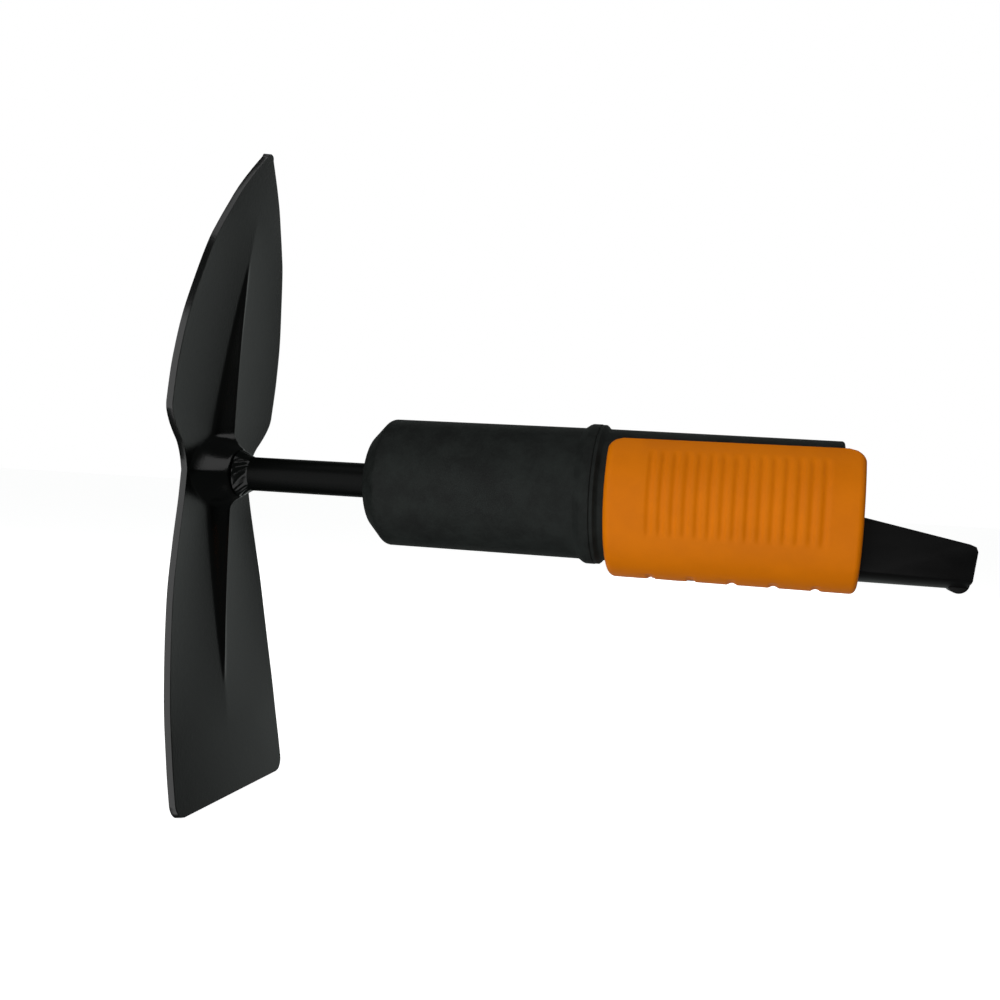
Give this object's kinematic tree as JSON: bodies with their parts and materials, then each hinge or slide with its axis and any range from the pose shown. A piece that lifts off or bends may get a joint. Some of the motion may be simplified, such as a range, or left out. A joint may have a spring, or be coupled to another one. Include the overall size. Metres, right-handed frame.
{
  "type": "grub hoe head",
  "caption": "Two-ended grub hoe head: flat digging blade and pointed blade on a round shaft, with a moulded plug-in socket and a sliding lock sleeve for a handle",
  "frame": {"origin": "on the shaft's axis, in the plane of the socket's end face, where the handle's shoulder rests", "axes": "+X along the shaft from the blade to the handle, +Z towards the pointed end of the blade, Y across the blade"},
  "size_m": [0.2251, 0.07, 0.2],
  "materials": {
    "powder_coat": "satin black-grey powder coat",
    "weld_coat": "glossier coat over the weld bead",
    "shaft_coat": "smooth gloss black coat",
    "body_moulding": "fine-grained matte moulding",
    "tongue_moulding": "smooth black glass-filled moulding",
    "orange_moulding": "satin orange moulding with fine grain",
    "dark_moulding": "smooth black moulding",
    "steel": "zinc-plated steel"
  },
  "bodies": {
    "head": {"hoe_blade": "powder_coat", "hub_weld": "weld_coat", "shaft": "shaft_coat", "front_body": "body_moulding", "socket_shell": "body_moulding", "tongue_core": "tongue_moulding", "roll_pin_front": "steel", "roll_pin_rear": "steel", "shell_screw_1": "steel", "shell_screw_2": "steel", "shell_screw_3": "steel", "shell_screw_4": "steel", "return_spring": "steel", "spring_rod": "steel", "latch_spring": "steel"},
    "sleeve": {"lock_sleeve": "orange_moulding", "cam_block": "dark_moulding", "cam_screw_front": "steel", "cam_screw_rear": "steel"},
    "latch": {"latch_bolt": "steel"}
  },
  "joints": [
    {"name": "sleeve_slide", "type": "slide", "parent": "head", "child": "sleeve", "axis": [-1, 0, 0], "range_m": [0, 0.01], "stiffness_N_per_m": 600, "springref_m": -0.005, "deforming": ["return_spring"]},
    {"name": "latch_drop", "type": "slide", "parent": "head", "child": "latch", "axis": [0, 0, -1], "range_m": [0, 0.005], "deforming": ["latch_spring"]}
  ],
  "couplings": [
    {"joint": "latch_drop", "follows": "sleeve_slide", "ratio": 0.5}
  ]
}
